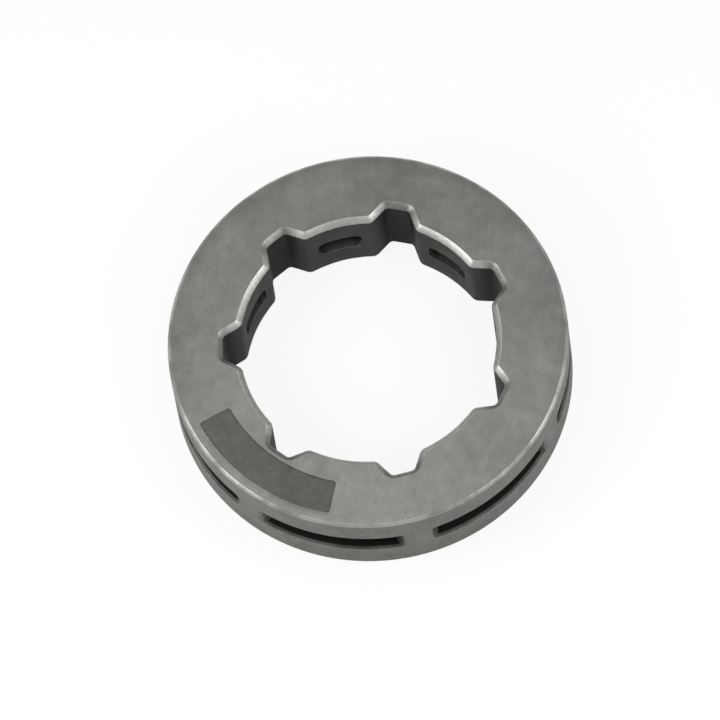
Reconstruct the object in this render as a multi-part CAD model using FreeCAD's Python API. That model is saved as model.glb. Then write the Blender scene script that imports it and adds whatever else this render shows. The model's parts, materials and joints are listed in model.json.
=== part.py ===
"""Chainsaw rim sprocket: one ring of sintered steel, 3/8 inch chain pitch, seven teeth.

The ring slides on the splined hub of the clutch drum. The chain's side straps ride on its two
outer rims, and the chain's drive links drop into the windows between the teeth. Each window
narrows inwards and opens into the bore, so that chips fall out.

Frame: +Z is the axis of rotation, the origin is the centre of the lower face, and the first
spline groove lies on +X.
"""

import FreeCAD, Part
import math
import os

from FreeCAD import Vector

# Driving dimensions, in millimetres and degrees

# Ring
OUTER_DIAMETER = 35.0      # over the rims that carry the chain's side straps
WIDTH = 8.5                # from face to face
RIM_CHAMFER = 0.25         # outer edges of both faces
TOOTH_COUNT = 7            # teeth, windows and spline grooves alike

# Spline in the bore
BORE_DIAMETER = 22.4       # across the lands
GROOVE_DEPTH = 1.5         # from the lands to the groove's flat root
GROOVE_MOUTH_WIDTH = 4.0   # where the groove's flanks meet the lands
GROOVE_ROOT_WIDTH = 2.0
GROOVE_ROOT_ROUND = 0.45
LAND_CORNER_ROUND = 0.2    # left at the face, outside the chamfer
BORE_CHAMFER = 0.5         # all along the spline, on both faces

# Chain windows and the teeth between them
SLOT_WIDTH = 2.2           # between the two rims, for the drive links
TOOTH_TIP_WIDTH = 2.4      # at the outer diameter
TOOTH_FLANK_ANGLE = 15.5   # each flank from the tooth's own centre line
WINDOW_CORNER_ROUND = 0.5  # where a flank meets a rim
WINDOW_CHAMFER = 0.25      # edge of the window on the outer diameter

# Shallow sunk field on the upper face, where such a ring is marked
FIELD_DEPTH = 0.15
FIELD_SPAN = 51.4          # angle of its arc, from land to land
FIELD_BORE_MARGIN = 0.3    # flat left between the field and the spline's chamfer
FIELD_RIM_MARGIN = 0.8     # flat left between the field and the rim's chamfer
FIELD_CORNER_ROUND = 0.25
FIELD_GROOVE = 4           # the groove that the field is centred on

# How far a cutting shape runs past the surface that it cuts
OVERRUN = 1.0

# Sizes that follow from the driving dimensions
AXIS = Vector(0, 0, 1)
CENTRE = Vector(0, 0, 0)
PITCH_ANGLE = 360.0 / TOOTH_COUNT
OUTER_RADIUS = OUTER_DIAMETER / 2
BORE_RADIUS = BORE_DIAMETER / 2
ROOT_RADIUS = BORE_RADIUS + GROOVE_DEPTH
MID_HEIGHT = WIDTH / 2
TOLERANCE = 1e-4


def polar(radius, angle, height=0.0):
    """Point at a radius and an angle in degrees about the axis."""
    turn = math.radians(angle)
    return Vector(radius * math.cos(turn), radius * math.sin(turn), height)


def turned(point, angle):
    """Point turned about the axis by an angle in degrees."""
    rotation = FreeCAD.Rotation(AXIS, angle)
    return rotation.multVec(point)


def edges_where(shape, test):
    """Edges of a shape whose middle point passes the test."""
    chosen = []
    for edge in shape.Edges:
        middle = edge.valueAt((edge.FirstParameter + edge.LastParameter) / 2)
        if test(edge, middle):
            chosen.append(edge)
    return chosen


def radius_of(point):
    return math.hypot(point.x, point.y)


def is_upright(edge, middle):
    """True for an edge that runs parallel to the axis."""
    start = edge.Vertexes[0].Point
    end = edge.Vertexes[-1].Point
    return (start - end).Length > TOLERANCE and radius_of(start - end) < TOLERANCE


def spline_outline():
    """Closed outline of the bore: lands as arcs, grooves with slanted flanks and flat roots."""
    mouth_angle = math.degrees(math.asin(GROOVE_MOUTH_WIDTH / 2 / BORE_RADIUS))
    edges = []
    for index in range(TOOTH_COUNT):
        groove_angle = index * PITCH_ANGLE
        mouth_start = polar(BORE_RADIUS, groove_angle - mouth_angle)
        root_start = turned(Vector(ROOT_RADIUS, -GROOVE_ROOT_WIDTH / 2, 0), groove_angle)
        root_end = turned(Vector(ROOT_RADIUS, GROOVE_ROOT_WIDTH / 2, 0), groove_angle)
        mouth_end = polar(BORE_RADIUS, groove_angle + mouth_angle)
        land_middle = polar(BORE_RADIUS, groove_angle + PITCH_ANGLE / 2)
        land_end = polar(BORE_RADIUS, groove_angle + PITCH_ANGLE - mouth_angle)
        edges.append(Part.LineSegment(mouth_start, root_start).toShape())
        edges.append(Part.LineSegment(root_start, root_end).toShape())
        edges.append(Part.LineSegment(root_end, mouth_end).toShape())
        edges.append(Part.Arc(mouth_end, land_middle, land_end).toShape())
    return Part.Wire(edges)


def splined_ring():
    """The ring with its spline, with rounded spline corners and chamfered faces."""
    outer_circle = Part.makeCircle(OUTER_RADIUS, CENTRE, AXIS)
    # The circle starts in the middle of a window, clear of the teeth.
    outer_circle.rotate(CENTRE, AXIS, PITCH_ANGLE / 2)
    profile = Part.Face(Part.Wire(outer_circle)).cut(Part.Face(spline_outline()))
    ring = profile.Faces[0].extrude(AXIS * WIDTH)

    mouth_edges = edges_where(
        ring, lambda edge, middle: is_upright(edge, middle)
        and abs(radius_of(middle) - BORE_RADIUS) < TOLERANCE)
    ring = ring.makeFillet(LAND_CORNER_ROUND + BORE_CHAMFER, mouth_edges)

    root_corner_radius = math.hypot(ROOT_RADIUS, GROOVE_ROOT_WIDTH / 2)
    root_edges = edges_where(
        ring, lambda edge, middle: is_upright(edge, middle)
        and abs(radius_of(middle) - root_corner_radius) < TOLERANCE)
    ring = ring.makeFillet(GROOVE_ROOT_ROUND, root_edges)

    def on_a_face(middle):
        return min(abs(middle.z), abs(middle.z - WIDTH)) < TOLERANCE

    rim_edges = edges_where(
        ring, lambda edge, middle: on_a_face(middle)
        and abs(radius_of(middle) - OUTER_RADIUS) < TOLERANCE)
    ring = ring.makeChamfer(RIM_CHAMFER, rim_edges)

    widest_spline = root_corner_radius + TOLERANCE
    bore_edges = edges_where(
        ring, lambda edge, middle: on_a_face(middle) and radius_of(middle) < widest_spline)
    return ring.makeChamfer(BORE_CHAMFER, bore_edges)


def window_cutter():
    """The wedge-shaped space between the first two teeth, from the bore out past the rims."""
    flank_slope = math.tan(math.radians(TOOTH_FLANK_ANGLE))
    tip_x = math.sqrt(OUTER_RADIUS ** 2 - (TOOTH_TIP_WIDTH / 2) ** 2)

    def flank_point(x):
        """Point of the first tooth's flank, at a distance along the tooth's centre line."""
        return Vector(x, TOOTH_TIP_WIDTH / 2 + (tip_x - x) * flank_slope, 0)

    def mirrored(point):
        """The same point on the second tooth, across the window's centre line."""
        return polar(radius_of(point), PITCH_ANGLE - math.degrees(math.atan2(point.y, point.x)))

    # Far enough out that the straight outer side of the wedge clears the rims
    outer_x = OUTER_RADIUS / math.cos(math.radians(PITCH_ANGLE / 2)) + OVERRUN
    inner_x = BORE_RADIUS - OVERRUN
    outer = flank_point(outer_x)
    inner = flank_point(inner_x)
    corners = [outer, inner, mirrored(inner), mirrored(outer), outer]
    wedge = Part.Face(Part.makePolygon(corners)).extrude(AXIS * SLOT_WIDTH)
    wedge.translate(AXIS * (MID_HEIGHT - SLOT_WIDTH / 2))

    flank_directions = [outer - inner, mirrored(outer) - mirrored(inner)]

    def along_a_flank(edge, middle):
        run = edge.Vertexes[-1].Point - edge.Vertexes[0].Point
        return any(run.cross(flank).Length < TOLERANCE for flank in flank_directions)

    return wedge.makeFillet(WINDOW_CORNER_ROUND, edges_where(wedge, along_a_flank))


def cut_windows(ring):
    """Cuts the windows and chamfers their edges on the outer diameter."""
    first_window = window_cutter()
    windows = []
    for index in range(TOOTH_COUNT):
        window = first_window.copy()
        window.rotate(CENTRE, AXIS, index * PITCH_ANGLE)
        windows.append(window)
    toothed = ring.cut(windows)

    mouth_edges = edges_where(
        toothed, lambda edge, middle: abs(radius_of(middle) - OUTER_RADIUS) < TOLERANCE
        and abs(middle.z - MID_HEIGHT) < SLOT_WIDTH / 2 + TOLERANCE)
    return toothed.makeChamfer(WINDOW_CHAMFER, mouth_edges)


def field_cutter():
    """The shallow arc-shaped field, between the spline and the rim of the upper face."""
    inner_radius = ROOT_RADIUS + BORE_CHAMFER + FIELD_BORE_MARGIN
    outer_radius = OUTER_RADIUS - RIM_CHAMFER - FIELD_RIM_MARGIN
    centre_angle = FIELD_GROOVE * PITCH_ANGLE
    start = centre_angle - FIELD_SPAN / 2
    end = centre_angle + FIELD_SPAN / 2
    inner_arc = Part.Arc(*[polar(inner_radius, angle) for angle in (start, centre_angle, end)])
    end_side = Part.LineSegment(polar(inner_radius, end), polar(outer_radius, end))
    outer_arc = Part.Arc(*[polar(outer_radius, angle) for angle in (end, centre_angle, start)])
    start_side = Part.LineSegment(polar(outer_radius, start), polar(inner_radius, start))
    outline = Part.Wire([side.toShape() for side in (inner_arc, end_side, outer_arc, start_side)])
    field = Part.Face(outline).extrude(AXIS * (FIELD_DEPTH + OVERRUN))
    field.translate(AXIS * (WIDTH - FIELD_DEPTH))
    return field.makeFillet(FIELD_CORNER_ROUND, edges_where(field, is_upright))


rim_sprocket = cut_windows(splined_ring()).cut(field_cutter())

os.makedirs("parts", exist_ok=True)
rim_sprocket.Solids[0].exportStep("parts/rim_sprocket.step")
print("solids", len(rim_sprocket.Solids), "valid", rim_sprocket.isValid(),
      "volume", round(rim_sprocket.Volume, 1), "mm3")
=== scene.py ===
"""A chainsaw's rim sprocket, lying on a white table under soft studio light."""

import json
import math

import bmesh
import bpy
from mathutils import Matrix, Vector


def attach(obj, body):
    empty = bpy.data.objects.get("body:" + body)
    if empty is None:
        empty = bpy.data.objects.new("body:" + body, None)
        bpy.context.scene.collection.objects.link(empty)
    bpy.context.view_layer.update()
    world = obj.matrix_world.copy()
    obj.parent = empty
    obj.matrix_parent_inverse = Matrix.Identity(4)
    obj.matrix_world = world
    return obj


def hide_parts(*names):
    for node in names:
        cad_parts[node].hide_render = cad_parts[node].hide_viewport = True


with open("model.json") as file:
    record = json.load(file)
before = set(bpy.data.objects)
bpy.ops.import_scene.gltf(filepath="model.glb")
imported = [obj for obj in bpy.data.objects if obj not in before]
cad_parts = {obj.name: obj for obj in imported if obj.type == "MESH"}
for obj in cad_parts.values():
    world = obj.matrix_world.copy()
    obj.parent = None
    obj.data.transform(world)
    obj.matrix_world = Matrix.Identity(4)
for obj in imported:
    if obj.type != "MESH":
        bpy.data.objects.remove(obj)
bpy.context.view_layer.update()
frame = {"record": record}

# The sprocket ring
# One ring of pressed and sintered steel, steam-treated to a dark oxide. Its two faces are then ground
# to a lighter grey, and handling wears its outer edges bright. The chamfer along its spline is worn bare
# and painted brighter still as a highlight, and the deepest parts of its grooves carry painted shade.

# Sizes are in millimetres from the ring's centre, the main ones from the record's mounts, and angles
# count from the middle of a groove.
MM = 0.001
mount_sizes = {mount["name"]: mount["dims"] for mount in frame["record"]["mounts"]}
TEETH = mount_sizes["spline_bore"]["count"]
PITCH = 2 * math.pi / TEETH
OUTER_RADIUS = mount_sizes["chain_rims"]["r_mm"]
HALF_WIDTH = mount_sizes["chain_rims"]["length_mm"] / 2
RIM_CHAMFER = 0.25

# The spline's lands, and its grooves with slanted sides and flat roots
BORE_RADIUS = mount_sizes["spline_bore"]["r_mm"]
ROOT_RADIUS = 12.7
HALF_MOUTH = 2.0
HALF_ROOT = 1.0
LAND_ROUND = 0.7
ROOT_ROUND = 0.45
BORE_CHAMFER = 0.5

# The windows, and the teeth between them
HALF_SLOT = 1.1
HALF_TIP = 1.2
FLANK_SLOPE = math.radians(15.5)
WINDOW_ROUND = 0.5
WINDOW_CHAMFER = 0.25

# The sunk field of the upper face, one pitch long, centred on the fourth groove after the one on +X
FIELD_INNER = 13.5
FIELD_OUTER = 16.45
FIELD_DEPTH = 0.15
FIELD_ROUND = 0.25
FIELD_ANGLE = 4 * PITCH

# The slight rounding that wear leaves on outer edges
WORN_ROUND = 0.06

# Steps of the mesh along a land, across half a tooth and across half a window, and the room that
# they leave on each side of a tooth's flank for its rounding and chamfer
LAND_STEPS = 2
TOOTH_STEPS = 4
WINDOW_STEPS = 10
TOOTH_ROOM = 0.6
WINDOW_ROOM = 0.85

# Segments of the roundings
SPLINE_SEGMENTS = 4
WINDOW_SEGMENTS = 5
FIELD_SEGMENTS = 4
WORN_SEGMENTS = 2

# An edge that turns by more than SHARP is sharp, and measures that differ by less than TINY are equal.
# An edge along a circle has its middle inside it, by less than CHORD_ROOM.
SHARP = math.radians(26)
TINY = 1e-4
CHORD_ROOM = 0.06
ANYWHERE = (0, math.inf)

mouth_angle = math.asin(HALF_MOUTH / BORE_RADIUS)
flank_reach = OUTER_RADIUS * math.sin(math.asin(HALF_TIP / OUTER_RADIUS) + FLANK_SLOPE)
bm = bmesh.new()


def flank_angle(radius):
    """Angle of a tooth's flank, which is straight and makes the tooth wider inwards."""
    return math.asin(flank_reach / radius) - FLANK_SLOPE


def spread(start, end, steps):
    """Evenly spaced values, with both ends."""
    return [start + (end - start) * step / steps for step in range(steps + 1)]


def row(radius, start, tooth_steps):
    """Points on the lower face at one radius, from an angle to the middle of the window."""
    flank = flank_angle(radius)
    angles = spread(start, flank - TOOTH_ROOM / radius, tooth_steps - 1) + [flank]
    angles += spread(flank + WINDOW_ROOM / radius, PITCH / 2, WINDOW_STEPS)
    return [Vector((radius * math.cos(angle), radius * math.sin(angle), -HALF_WIDTH)) for angle in angles]


def chain(points):
    """Edges that join the points in a row."""
    verts = [bm.verts.new(point) for point in points]
    return [bm.edges.new(pair) for pair in zip(verts, verts[1:])]


def everything():
    return bm.verts[:] + bm.edges[:] + bm.faces[:]


def place(point):
    """Radius, angle from the middle of the nearest groove, and distance from the middle plane."""
    angle = math.remainder(math.atan2(point.y, point.x), PITCH)
    return point.xy.length, abs(angle), abs(point.z)


def middle_of(edge):
    return (edge.verts[0].co + edge.verts[1].co) / 2


def lift(faces, height):
    """Extrudes faces along the axis and returns the moved ones."""
    made = bmesh.ops.extrude_face_region(bm, geom=faces)["geom"]
    raised = [part for part in made if isinstance(part, bmesh.types.BMVert)]
    bmesh.ops.translate(bm, vec=(0, 0, height), verts=raised)
    return [part for part in made if isinstance(part, bmesh.types.BMFace)]


def sharp_edges(radius=ANYWHERE, angle=ANYWHERE, height=ANYWHERE):
    """Sharp edges whose middle, as place measures it, lies within these lowest and highest values."""
    chosen = []
    for edge in bm.edges:
        measures = zip(place(middle_of(edge)), (radius, angle, height))
        inside = all(low - TINY < measure < high + TINY for measure, (low, high) in measures)
        if inside and edge.calc_face_angle() > SHARP:
            chosen.append(edge)
    return chosen


def bevel(edges, offset, segments=1):
    """Chamfers edges, or rounds them where there is more than one segment."""
    bmesh.ops.bevel(
        bm, geom=edges, offset=offset, offset_type="OFFSET", affect="EDGES", segments=segments,
        profile=0.5, material=-1, clamp_overlap=False, loop_slide=False)


# A quarter of one pitch, from the middle of a groove to the middle of a window and from the lower
# face to the middle plane: rows from the spline to the rim, raised to the slot, and the tooth raised on
spline = [Vector((ROOT_RADIUS, 0, -HALF_WIDTH)), Vector((ROOT_RADIUS, HALF_ROOT, -HALF_WIDTH))]
spline += row(BORE_RADIUS, mouth_angle, LAND_STEPS)
rows = [chain(spline)]
for radius in (FIELD_INNER, FIELD_OUTER, OUTER_RADIUS):
    rows.append(chain(row(radius, 0, TOOTH_STEPS)))
for inner, outer in zip(rows, rows[1:]):
    bmesh.ops.bridge_loops(bm, edges=inner + outer)
spare = []
for face in lift(bm.faces[:], HALF_WIDTH - HALF_SLOT):
    radius, angle, height = place(face.calc_center_median())
    if angle < flank_angle(radius):
        spare.append(face)
lift(spare, HALF_SLOT)

# The cut planes are left open, and the quarter is mirrored and turned into the whole ring.
for face in bm.faces:
    radius, angle, height = place(face.calc_center_median())
    if min(angle, PITCH / 2 - angle, height) < TINY:
        spare.append(face)
bmesh.ops.delete(bm, geom=spare, context="FACES")
for axis in "ZY":
    bmesh.ops.mirror(bm, geom=everything(), matrix=Matrix.Identity(4), merge_dist=TINY, axis=axis)
bmesh.ops.spin(
    bm, geom=everything(), cent=(0, 0, 0), axis=(0, 0, 1), angle=PITCH * (TEETH - 1), steps=TEETH - 1,
    use_duplicate=True)
bmesh.ops.remove_doubles(bm, verts=bm.verts[:], dist=TINY)
bmesh.ops.recalc_face_normals(bm, faces=bm.faces[:])

# The spline's corners are rounded. A rounding's offset is its radius times the tangent of half the turn.
root_corner = math.hypot(ROOT_RADIUS, HALF_ROOT)
root_turn = math.atan2(ROOT_RADIUS - BORE_RADIUS * math.cos(mouth_angle), HALF_MOUTH - HALF_ROOT)
root_edges = sharp_edges(radius=(root_corner, root_corner))
bevel(root_edges, ROOT_ROUND * math.tan(root_turn / 2), SPLINE_SEGMENTS)
mouth_turn = root_turn - mouth_angle
mouth_edges = sharp_edges(radius=(BORE_RADIUS, BORE_RADIUS), angle=(mouth_angle, mouth_angle))
bevel(mouth_edges, LAND_ROUND * math.tan(mouth_turn / 2), SPLINE_SEGMENTS)

# The windows' inner corners are rounded, and their mouths and the rims are chamfered.
window_corners = [edge for edge in sharp_edges(height=(HALF_SLOT, HALF_SLOT)) if not edge.is_convex]
bevel(window_corners, WINDOW_ROUND, WINDOW_SEGMENTS)
at_rim = (OUTER_RADIUS - CHORD_ROOM, OUTER_RADIUS)
at_face = (HALF_WIDTH, HALF_WIDTH)
bevel(sharp_edges(radius=at_rim, height=(0, HALF_SLOT)), WINDOW_CHAMFER)
bevel(sharp_edges(radius=at_rim, height=at_face), RIM_CHAMFER)

# Edges that cross the faces beside the spline are dissolved, to make room for its chamfer.
crossing = []
for edge in bm.edges:
    radius, angle, height = place(middle_of(edge))
    beside_spline = radius < FIELD_INNER - CHORD_ROOM and height > HALF_WIDTH - TINY
    if beside_spline and min(angle, PITCH / 2 - angle) > TINY and edge.calc_face_angle() < TINY:
        crossing.append(edge)
bmesh.ops.dissolve_edges(bm, edges=crossing, use_verts=False)
bevel(sharp_edges(radius=(0, FIELD_INNER), height=at_face), BORE_CHAMFER)

# The field is sunk into the upper face, and then every outer edge gets its worn rounding.
field_faces = []
for face in bm.faces:
    centre = face.calc_center_median()
    from_field = math.remainder(math.atan2(centre.y, centre.x) - FIELD_ANGLE, 2 * math.pi)
    in_band = FIELD_INNER < centre.xy.length < FIELD_OUTER and centre.z > HALF_WIDTH - TINY
    if in_band and abs(from_field) < PITCH / 2:
        field_faces.append(face)
lift(field_faces, -FIELD_DEPTH)
bmesh.ops.delete(bm, geom=field_faces, context="FACES")
bmesh.ops.recalc_face_normals(bm, faces=bm.faces[:])
field_wall = HALF_WIDTH - FIELD_DEPTH / 2
bevel(sharp_edges(height=(field_wall, field_wall)), FIELD_ROUND, FIELD_SEGMENTS)
bevel([edge for edge in sharp_edges() if edge.is_convex], WORN_ROUND, WORN_SEGMENTS)

for face in bm.faces:
    face.smooth = True
bmesh.ops.translate(bm, vec=(0, 0, HALF_WIDTH), verts=bm.verts[:])
bmesh.ops.scale(bm, vec=(MM, MM, MM), verts=bm.verts[:])
ring_mesh = bpy.data.meshes.new("sprocket_ring")
bm.to_mesh(ring_mesh)
bm.free()

# Greys of the finishes, from the near black deep in the grooves and windows, which is oxide with painted
# shade, to bare steel
# The darkest grey is dark oxide made darker still as painted shade, for the shade deep in the grooves and
# windows.
OXIDE_AND_PAINTED_SHADE_GREY = (0.012, 0.012, 0.011, 1.0)
OXIDE_GREY = (0.046, 0.047, 0.041, 1.0)
FIELD_GREY = (0.105, 0.106, 0.097, 1.0)
RIM_GREY = (0.168, 0.169, 0.157, 1.0)
GROUND_GREY = (0.225, 0.226, 0.209, 1.0)
# The chamfer along the spline is worn bare steel, painted brighter as a highlight, most on the lands.
ROOT_CHAMFER_HIGHLIGHT_GREY = (0.270, 0.270, 0.252, 1.0)
WORN_GREY = (0.420, 0.420, 0.395, 1.0)
LAND_CHAMFER_HIGHLIGHT_GREY = (0.500, 0.500, 0.470, 1.0)

# Where a finish begins and where it is full: by how level the surface is, from 0 on a wall to 1 on a
# face, by its depth below the nearer face, and by its radius
FLAT_LEVELS = (0.93, 0.985)
SLANTED_LEVELS = (0.2, 0.5)
UPRIGHT_LEVELS = (0.6, 0.3)
GROUND_DEPTHS = (0.08, 0.03)
SUNK_DEPTHS = (0.5, 0.3)
EDGE_DEPTHS = (1.0, 0.8)
WALL_DEPTHS = (0.3, BORE_CHAMFER)
SLOT_DEPTHS = (HALF_WIDTH - HALF_SLOT - 0.1, HALF_WIDTH - HALF_SLOT)
RIM_RADII = (OUTER_RADIUS - 0.12, OUTER_RADIUS - 0.03)
HANDLED_RADII = (ROOT_RADIUS, FIELD_OUTER)
FLANK_RADII = (FIELD_INNER, FIELD_INNER + 1.5)
CHAMFER_RADII = (FIELD_INNER, FIELD_INNER - 0.2)
LAND_RADII = (ROOT_RADIUS, BORE_RADIUS + BORE_CHAMFER)
PAINTED_SHADE_RADII = (BORE_RADIUS + 0.3, ROOT_RADIUS - 0.3)

# The grinder's wheel turns about a far point, so its marks cross the faces as wide arcs. Arcs and the
# press's streaks are drawn out: a step along them counts as this share of a step across.
GRINDER_CENTRE = (-62.0, 48.0)
GRINDER_RADIUS = math.hypot(*GRINDER_CENTRE)
DRAWN_OUT = 1 / 40

# Sizes of the marks, how far each tints the grey, and its height as a share of the bump's height
ARC_SIZE = 0.14
ARC_TINT = 0.3
ARC_HEIGHT = 0.25
STREAK_SIZE = 0.22
STREAK_TINT = 0.3
STREAK_HEIGHT = 0.3
CLOUD_SIZE = 11.0
CLOUD_TINT = 0.24
CLOUD_SHIFT = 7.0
PATCH_SIZE = 3.4
PATCH_TINT = 0.6
BLOTCH_SIZE = 1.2
BLOTCH_TINT = 0.5
SPECKLE_SIZE = 0.45
SPECKLE_TINT = 0.5
SPECKLE_HEIGHT = 1.5
GRAIN_SIZE = 0.13
GRAIN_TINT = 0.14
GROUND_GRAIN = 0.2
PORE_SPACING = 0.42
PORE_EDGE = (0.16, 0.08)
PORE_TINT = 0.45
PORE_HEIGHT = 0.8
POROUS_PATCHES = (0.42, 0.62)
BUMP_HEIGHT = 0.018
BUMP_STRENGTH = 0.6

# Wear is thinner where no hand reaches and on some patches, and bare steel is smoother and more metallic.
UNHANDLED_WEAR = 0.2
THIN_WEAR = 0.6
WORN_PATCHES = (0.38, 0.6)
OXIDE_ROUGHNESS = 0.62
GROUND_POLISH = 0.14
WORN_POLISH = 0.2
GRAIN_ROUGHNESS = 0.14
PATCH_ROUGHNESS = 0.12
OXIDE_METALLIC = 0.5
METALLIC_GAIN = 0.4
SPECULAR_LEVEL = 0.2


class Shade:
    """A value in a material; arithmetic on it adds Math nodes to the material's tree."""

    def __init__(self, tree, socket=None):
        self.tree = tree
        self.socket = socket

    def node(self, kind, settings, sockets, output=0):
        """Adds a node: its settings are set first, then its sockets are set or linked."""
        made = self.tree.nodes.new(kind)
        for name, setting in settings.items():
            setattr(made, name, setting)
        for key, given in sockets.items():
            if isinstance(given, Shade):
                self.tree.links.new(given.socket, made.inputs[key])
            else:
                made.inputs[key].default_value = given
        return Shade(self.tree, made.outputs[output] if made.outputs else None)

    def output(self, name):
        """Another output of the node that this value comes from."""
        return Shade(self.tree, self.socket.node.outputs[name])

    def math(self, operation, *operands):
        return self.node("ShaderNodeMath", {"operation": operation}, dict(enumerate(operands)))

    def __add__(self, other):
        return self.math("ADD", self, other)

    __radd__ = __add__

    def __sub__(self, other):
        return self.math("SUBTRACT", self, other)

    def __rsub__(self, other):
        return self.math("SUBTRACT", other, self)

    def __mul__(self, other):
        return self.math("MULTIPLY", self, other)

    __rmul__ = __mul__

    def __abs__(self):
        return self.math("ABSOLUTE", self)

    def step(self, low, high):
        """0 below low and 1 above high, with a smooth rise between; falls where low is above high."""
        return self.node("ShaderNodeMapRange", {"interpolation_type": "SMOOTHSTEP"},
                         {"Value": self, "From Min": low, "From Max": high})


def at_least(lowest, mask):
    """The mask, running from a lowest value to 1 instead of from 0 to 1."""
    return lowest + (1 - lowest) * mask


def sway(pattern, amount):
    """A pattern's swing about its mean, by an amount from its lowest to its highest value."""
    return amount * (pattern - 0.5)


def blend_colour(factor, first, second):
    """Colour that goes from first to second as the factor goes from 0 to 1."""
    # The Mix node's colours are its sockets 6 and 7, and their mix is its output 2.
    return factor.node("ShaderNodeMix", {"data_type": "RGBA"}, {0: factor, 6: first, 7: second}, output=2)


def new_material(name):
    material = bpy.data.materials.new(name)
    material.use_nodes = True
    material.node_tree.nodes.clear()
    return material, Shade(material.node_tree)


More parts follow.
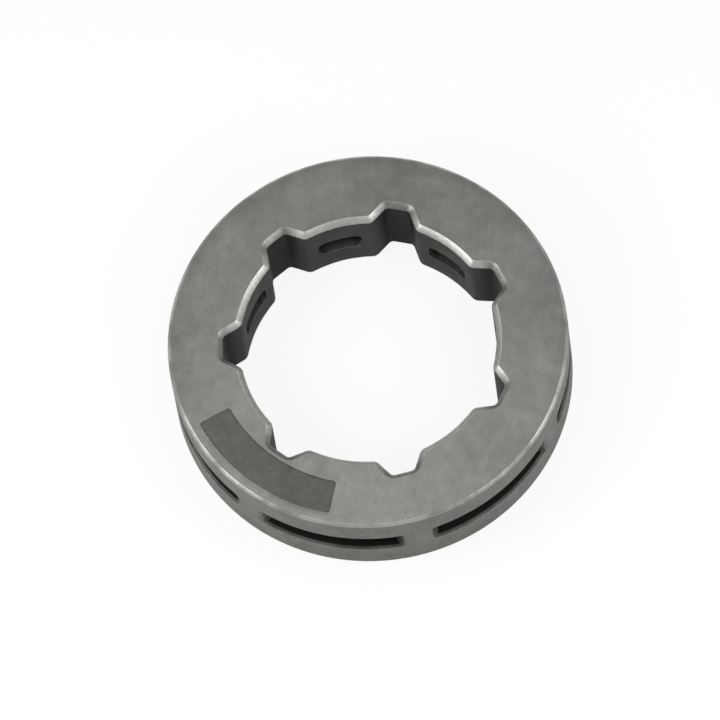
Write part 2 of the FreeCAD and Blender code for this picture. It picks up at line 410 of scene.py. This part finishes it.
def sintered_steel():
    """Dark oxide with painted shade deep in the grooves, ground away on the faces, worn thin on the rims,
    flanks and edges, and with a painted highlight on the spline's chamfer.
    """
    material, shade = new_material("sintered_steel")
    surface_point = shade.node("ShaderNodeTexCoord", {}, {}, output="Object")
    facing = shade.node("ShaderNodeSeparateXYZ", {}, {0: surface_point.output("Normal")}, output="Z")
    position = shade.node(
        "ShaderNodeVectorMath", {"operation": "SCALE"}, {0: surface_point, "Scale": 1 / MM})
    x = shade.node("ShaderNodeSeparateXYZ", {}, {0: position})
    y = x.output("Y")
    z = x.output("Z")
    level = abs(facing)
    upright = 1 - level
    radius = shade.math("SQRT", x * x + y * y)
    depth = HALF_WIDTH - abs(z - HALF_WIDTH)

    def vector(*parts):
        return shade.node("ShaderNodeCombineXYZ", {}, dict(enumerate(parts)))

    def noise(size, detail, roughness, at=position):
        return shade.node("ShaderNodeTexNoise", {}, {
            "Vector": at, "Scale": 1 / size, "Detail": detail, "Roughness": roughness})

    # Where each finish lies
    flat = level.step(*FLAT_LEVELS)
    edge = level.step(*SLANTED_LEVELS) * (1 - flat)
    ground = flat * depth.step(*GROUND_DEPTHS)
    pressed = 1 - ground
    field = flat * depth.step(*SUNK_DEPTHS) * pressed
    rim = radius.step(*RIM_RADII)
    flank = radius.step(*FLANK_RADII) * depth.step(*SLOT_DEPTHS) * level.step(*UPRIGHT_LEVELS)
    # Painted shade: near black on the walls deep in the grooves and on the windows near the bore, over
    # their oxide.
    oxide_and_painted_shade = radius.step(*PAINTED_SHADE_RADII) * depth.step(*WALL_DEPTHS)
    near_face = depth.step(*EDGE_DEPTHS)
    handled = near_face * radius.step(*HANDLED_RADII)
    # Painted highlight on the chamfer along the spline, which is also worn bare.
    bare_and_highlit_chamfer = edge * near_face * radius.step(*CHAMFER_RADII)
    on_land = radius.step(*LAND_RADII)

    # Marks of the making: grinding arcs, pressing streaks, mottled oxide, grain and pores
    arc_x = x - GRINDER_CENTRE[0]
    arc_y = y - GRINDER_CENTRE[1]
    across = shade.math("SQRT", arc_x * arc_x + arc_y * arc_y)
    along = shade.math("ARCTAN2", arc_y, arc_x) * (GRINDER_RADIUS * DRAWN_OUT)
    arcs = noise(ARC_SIZE, detail=3.0, roughness=0.6, at=vector(across, along))
    streaks = noise(STREAK_SIZE, detail=3.0, roughness=0.6, at=vector(x, y, z * DRAWN_OUT))
    clouds = noise(CLOUD_SIZE, detail=2.0, roughness=0.5, at=vector(x + CLOUD_SHIFT, y, z))
    patches = noise(PATCH_SIZE, detail=5.0, roughness=0.55)
    blotches = noise(BLOTCH_SIZE, detail=3.0, roughness=0.6)
    speckle = noise(SPECKLE_SIZE, detail=3.0, roughness=0.65)
    grain = noise(GRAIN_SIZE, detail=4.0, roughness=0.6)
    spots = shade.node("ShaderNodeTexVoronoi", {}, {"Vector": position, "Scale": 1 / PORE_SPACING})
    pores = spots.step(*PORE_EDGE) * patches.step(*POROUS_PATCHES)

    # Each finish lies over the one before it, and the marks tint them all.
    worn = edge * at_least(UNHANDLED_WEAR, handled) * at_least(THIN_WEAR, patches.step(*WORN_PATCHES))
    # The painted shade deep in the grooves and windows goes first, under every other finish.
    colour = blend_colour(oxide_and_painted_shade, OXIDE_GREY, OXIDE_AND_PAINTED_SHADE_GREY)
    colour = blend_colour(flank, colour, RIM_GREY)
    colour = blend_colour(rim, colour, RIM_GREY)
    colour = blend_colour(field, colour, FIELD_GREY)
    colour = blend_colour(ground, colour, GROUND_GREY)
    colour = blend_colour(worn, colour, WORN_GREY)
    # The chamfer along the spline gets its painted highlight, brighter on the lands than in the roots.
    chamfer_highlight_grey = blend_colour(on_land, ROOT_CHAMFER_HIGHLIGHT_GREY, LAND_CHAMFER_HIGHLIGHT_GREY)
    colour = blend_colour(bare_and_highlit_chamfer, colour, chamfer_highlight_grey)
    tint = 1 + sway(clouds, CLOUD_TINT) + sway(patches, PATCH_TINT) + sway(blotches, BLOTCH_TINT)
    tint = tint + sway(grain, GRAIN_TINT) + sway(speckle, SPECKLE_TINT) * pressed
    tint = tint + sway(arcs, ARC_TINT) * ground + sway(streaks, STREAK_TINT) * upright
    tint = tint * (1 - PORE_TINT * pores * ground)
    colour = shade.node("ShaderNodeVectorMath", {"operation": "SCALE"}, {0: colour, "Scale": tint})

    bare = shade.math("MAXIMUM", worn, bare_and_highlit_chamfer)
    metallic = OXIDE_METALLIC + METALLIC_GAIN * (ground + bare)
    roughness = OXIDE_ROUGHNESS - GROUND_POLISH * ground - WORN_POLISH * bare
    roughness = roughness + sway(grain, GRAIN_ROUGHNESS) + sway(patches, PATCH_ROUGHNESS)
    height = grain * at_least(GROUND_GRAIN, pressed) + SPECKLE_HEIGHT * speckle * pressed
    height = height + ARC_HEIGHT * arcs * ground + STREAK_HEIGHT * streaks * upright
    height = height - PORE_HEIGHT * pores
    bump = shade.node("ShaderNodeBump", {}, {
        "Strength": BUMP_STRENGTH, "Distance": BUMP_HEIGHT * MM, "Height": height})
    surface = shade.node("ShaderNodeBsdfPrincipled", {}, {
        "Base Color": colour, "Metallic": metallic, "Roughness": roughness,
        "Specular IOR Level": SPECULAR_LEVEL, "Normal": bump})
    shade.node("ShaderNodeOutputMaterial", {}, {"Surface": surface})
    return material


ring_mesh.materials.append(sintered_steel())
ring = bpy.data.objects.new("sprocket_ring", ring_mesh)
bpy.context.scene.collection.objects.link(ring)
ring.modifiers.new("shade", "WEIGHTED_NORMAL")
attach(ring, "root")
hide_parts("rim_sprocket")

# The table
# A plain sheet of white paper under the ring, wide enough to fill every view. It glows to the camera,
# so that it is white without more light on the ring, and it keeps the ring's soft shadow.
TABLE_HALF_WIDTH = 3.0
TABLE_WHITE = (0.97, 0.97, 0.97, 1.0)
PURE_WHITE = (1.0, 1.0, 1.0, 1.0)
TABLE_GLOW = 0.85
MIRRORED_GLOW = 0.15


def white_table():
    """White paper, which glows to the camera, and less in what mirrors it."""
    material, shade = new_material("white_table")
    camera_ray = shade.node("ShaderNodeLightPath", {}, {}, output="Is Camera Ray")
    glossy_ray = camera_ray.output("Is Glossy Ray")
    mirrored_ray = shade.math("MAXIMUM", glossy_ray, camera_ray.output("Is Transmission Ray"))
    glowing = shade.math("MAXIMUM", camera_ray * TABLE_GLOW, mirrored_ray * MIRRORED_GLOW)
    paper = shade.node("ShaderNodeBsdfDiffuse", {}, {"Color": TABLE_WHITE})
    glow = shade.node("ShaderNodeEmission", {}, {"Color": PURE_WHITE, "Strength": 1.0})
    surface = shade.node("ShaderNodeMixShader", {}, {0: glowing, 1: paper, 2: glow})
    shade.node("ShaderNodeOutputMaterial", {}, {"Surface": surface})
    return material


sheet = bmesh.new()
bmesh.ops.create_grid(sheet, x_segments=1, y_segments=1, size=TABLE_HALF_WIDTH)
table_mesh = bpy.data.meshes.new("table")
sheet.to_mesh(table_mesh)
sheet.free()
table_mesh.materials.append(white_table())
table = bpy.data.objects.new("table", table_mesh)
bpy.context.scene.collection.objects.link(table)

# The light
# An even white room, as in a light tent, with three soft round lamps: a small one overhead, and one at
# the left and one at the near right for the walls. Places are in metres and powers in watts.
ROOM_LEVEL = 0.56

world = bpy.data.worlds.new("room")
world.use_nodes = True
background = world.node_tree.nodes["Background"]
background.inputs["Color"].default_value = PURE_WHITE
background.inputs["Strength"].default_value = ROOM_LEVEL
bpy.context.scene.world = world


def soft_lamp(name, location, width, power):
    """A round area lamp that faces the ring."""
    lamp_data = bpy.data.lights.new(name, "AREA")
    lamp_data.shape = "DISK"
    lamp_data.size = width
    lamp_data.energy = power
    lamp = bpy.data.objects.new(name, lamp_data)
    lamp.location = location
    lamp.rotation_mode = "QUATERNION"
    lamp.rotation_quaternion = (-Vector(location)).to_track_quat("-Z", "Y")
    bpy.context.scene.collection.objects.link(lamp)


soft_lamp("overhead_lamp", location=(-0.003, 0.006, 0.070), width=0.04, power=0.0065)
soft_lamp("left_lamp", location=(-0.076, 0.010, 0.070), width=0.06, power=0.046)
soft_lamp("right_lamp", location=(0.052, -0.054, 0.070), width=0.06, power=0.035)

# The camera
# Looks down on the ring from far off, with the picture turned a little, as in the photograph. The
# ring's centre and radius are given in the photograph's pixels.
IMAGE_WIDTH = 720
RING_CENTRE_PIXEL = (370.7, 358.2)
PIXELS_PER_RADIUS = 200.1
AZIMUTH = math.radians(-18.2)
ELEVATION = math.radians(67.6)
ROLL = math.radians(9.3)
DISTANCE = 60 * OUTER_RADIUS * MM

back = Vector((math.sin(AZIMUTH) * math.cos(ELEVATION), -math.cos(AZIMUTH) * math.cos(ELEVATION),
               math.sin(ELEVATION)))
level_right = Vector((math.cos(AZIMUTH), math.sin(AZIMUTH), 0))
level_up = back.cross(level_right)
right = level_right * math.cos(ROLL) - level_up * math.sin(ROLL)
up = level_right * math.sin(ROLL) + level_up * math.cos(ROLL)
metres_per_pixel = OUTER_RADIUS * MM / PIXELS_PER_RADIUS
ring_centre = Vector((0, 0, HALF_WIDTH * MM))
offset_right = (RING_CENTRE_PIXEL[0] - IMAGE_WIDTH / 2) * metres_per_pixel
offset_up = (IMAGE_WIDTH / 2 - RING_CENTRE_PIXEL[1]) * metres_per_pixel

camera_data = bpy.data.cameras.new("camera")
camera_data.lens = camera_data.sensor_width * DISTANCE / (IMAGE_WIDTH * metres_per_pixel)
camera = bpy.data.objects.new("camera", camera_data)
rotation = Matrix((right, up, back)).transposed().to_4x4()
camera_place = ring_centre + back * DISTANCE - right * offset_right - up * offset_up
camera.matrix_world = Matrix.Translation(camera_place) @ rotation
bpy.context.scene.collection.objects.link(camera)
bpy.context.scene.camera = camera
bpy.context.scene.view_settings.view_transform = "Standard"
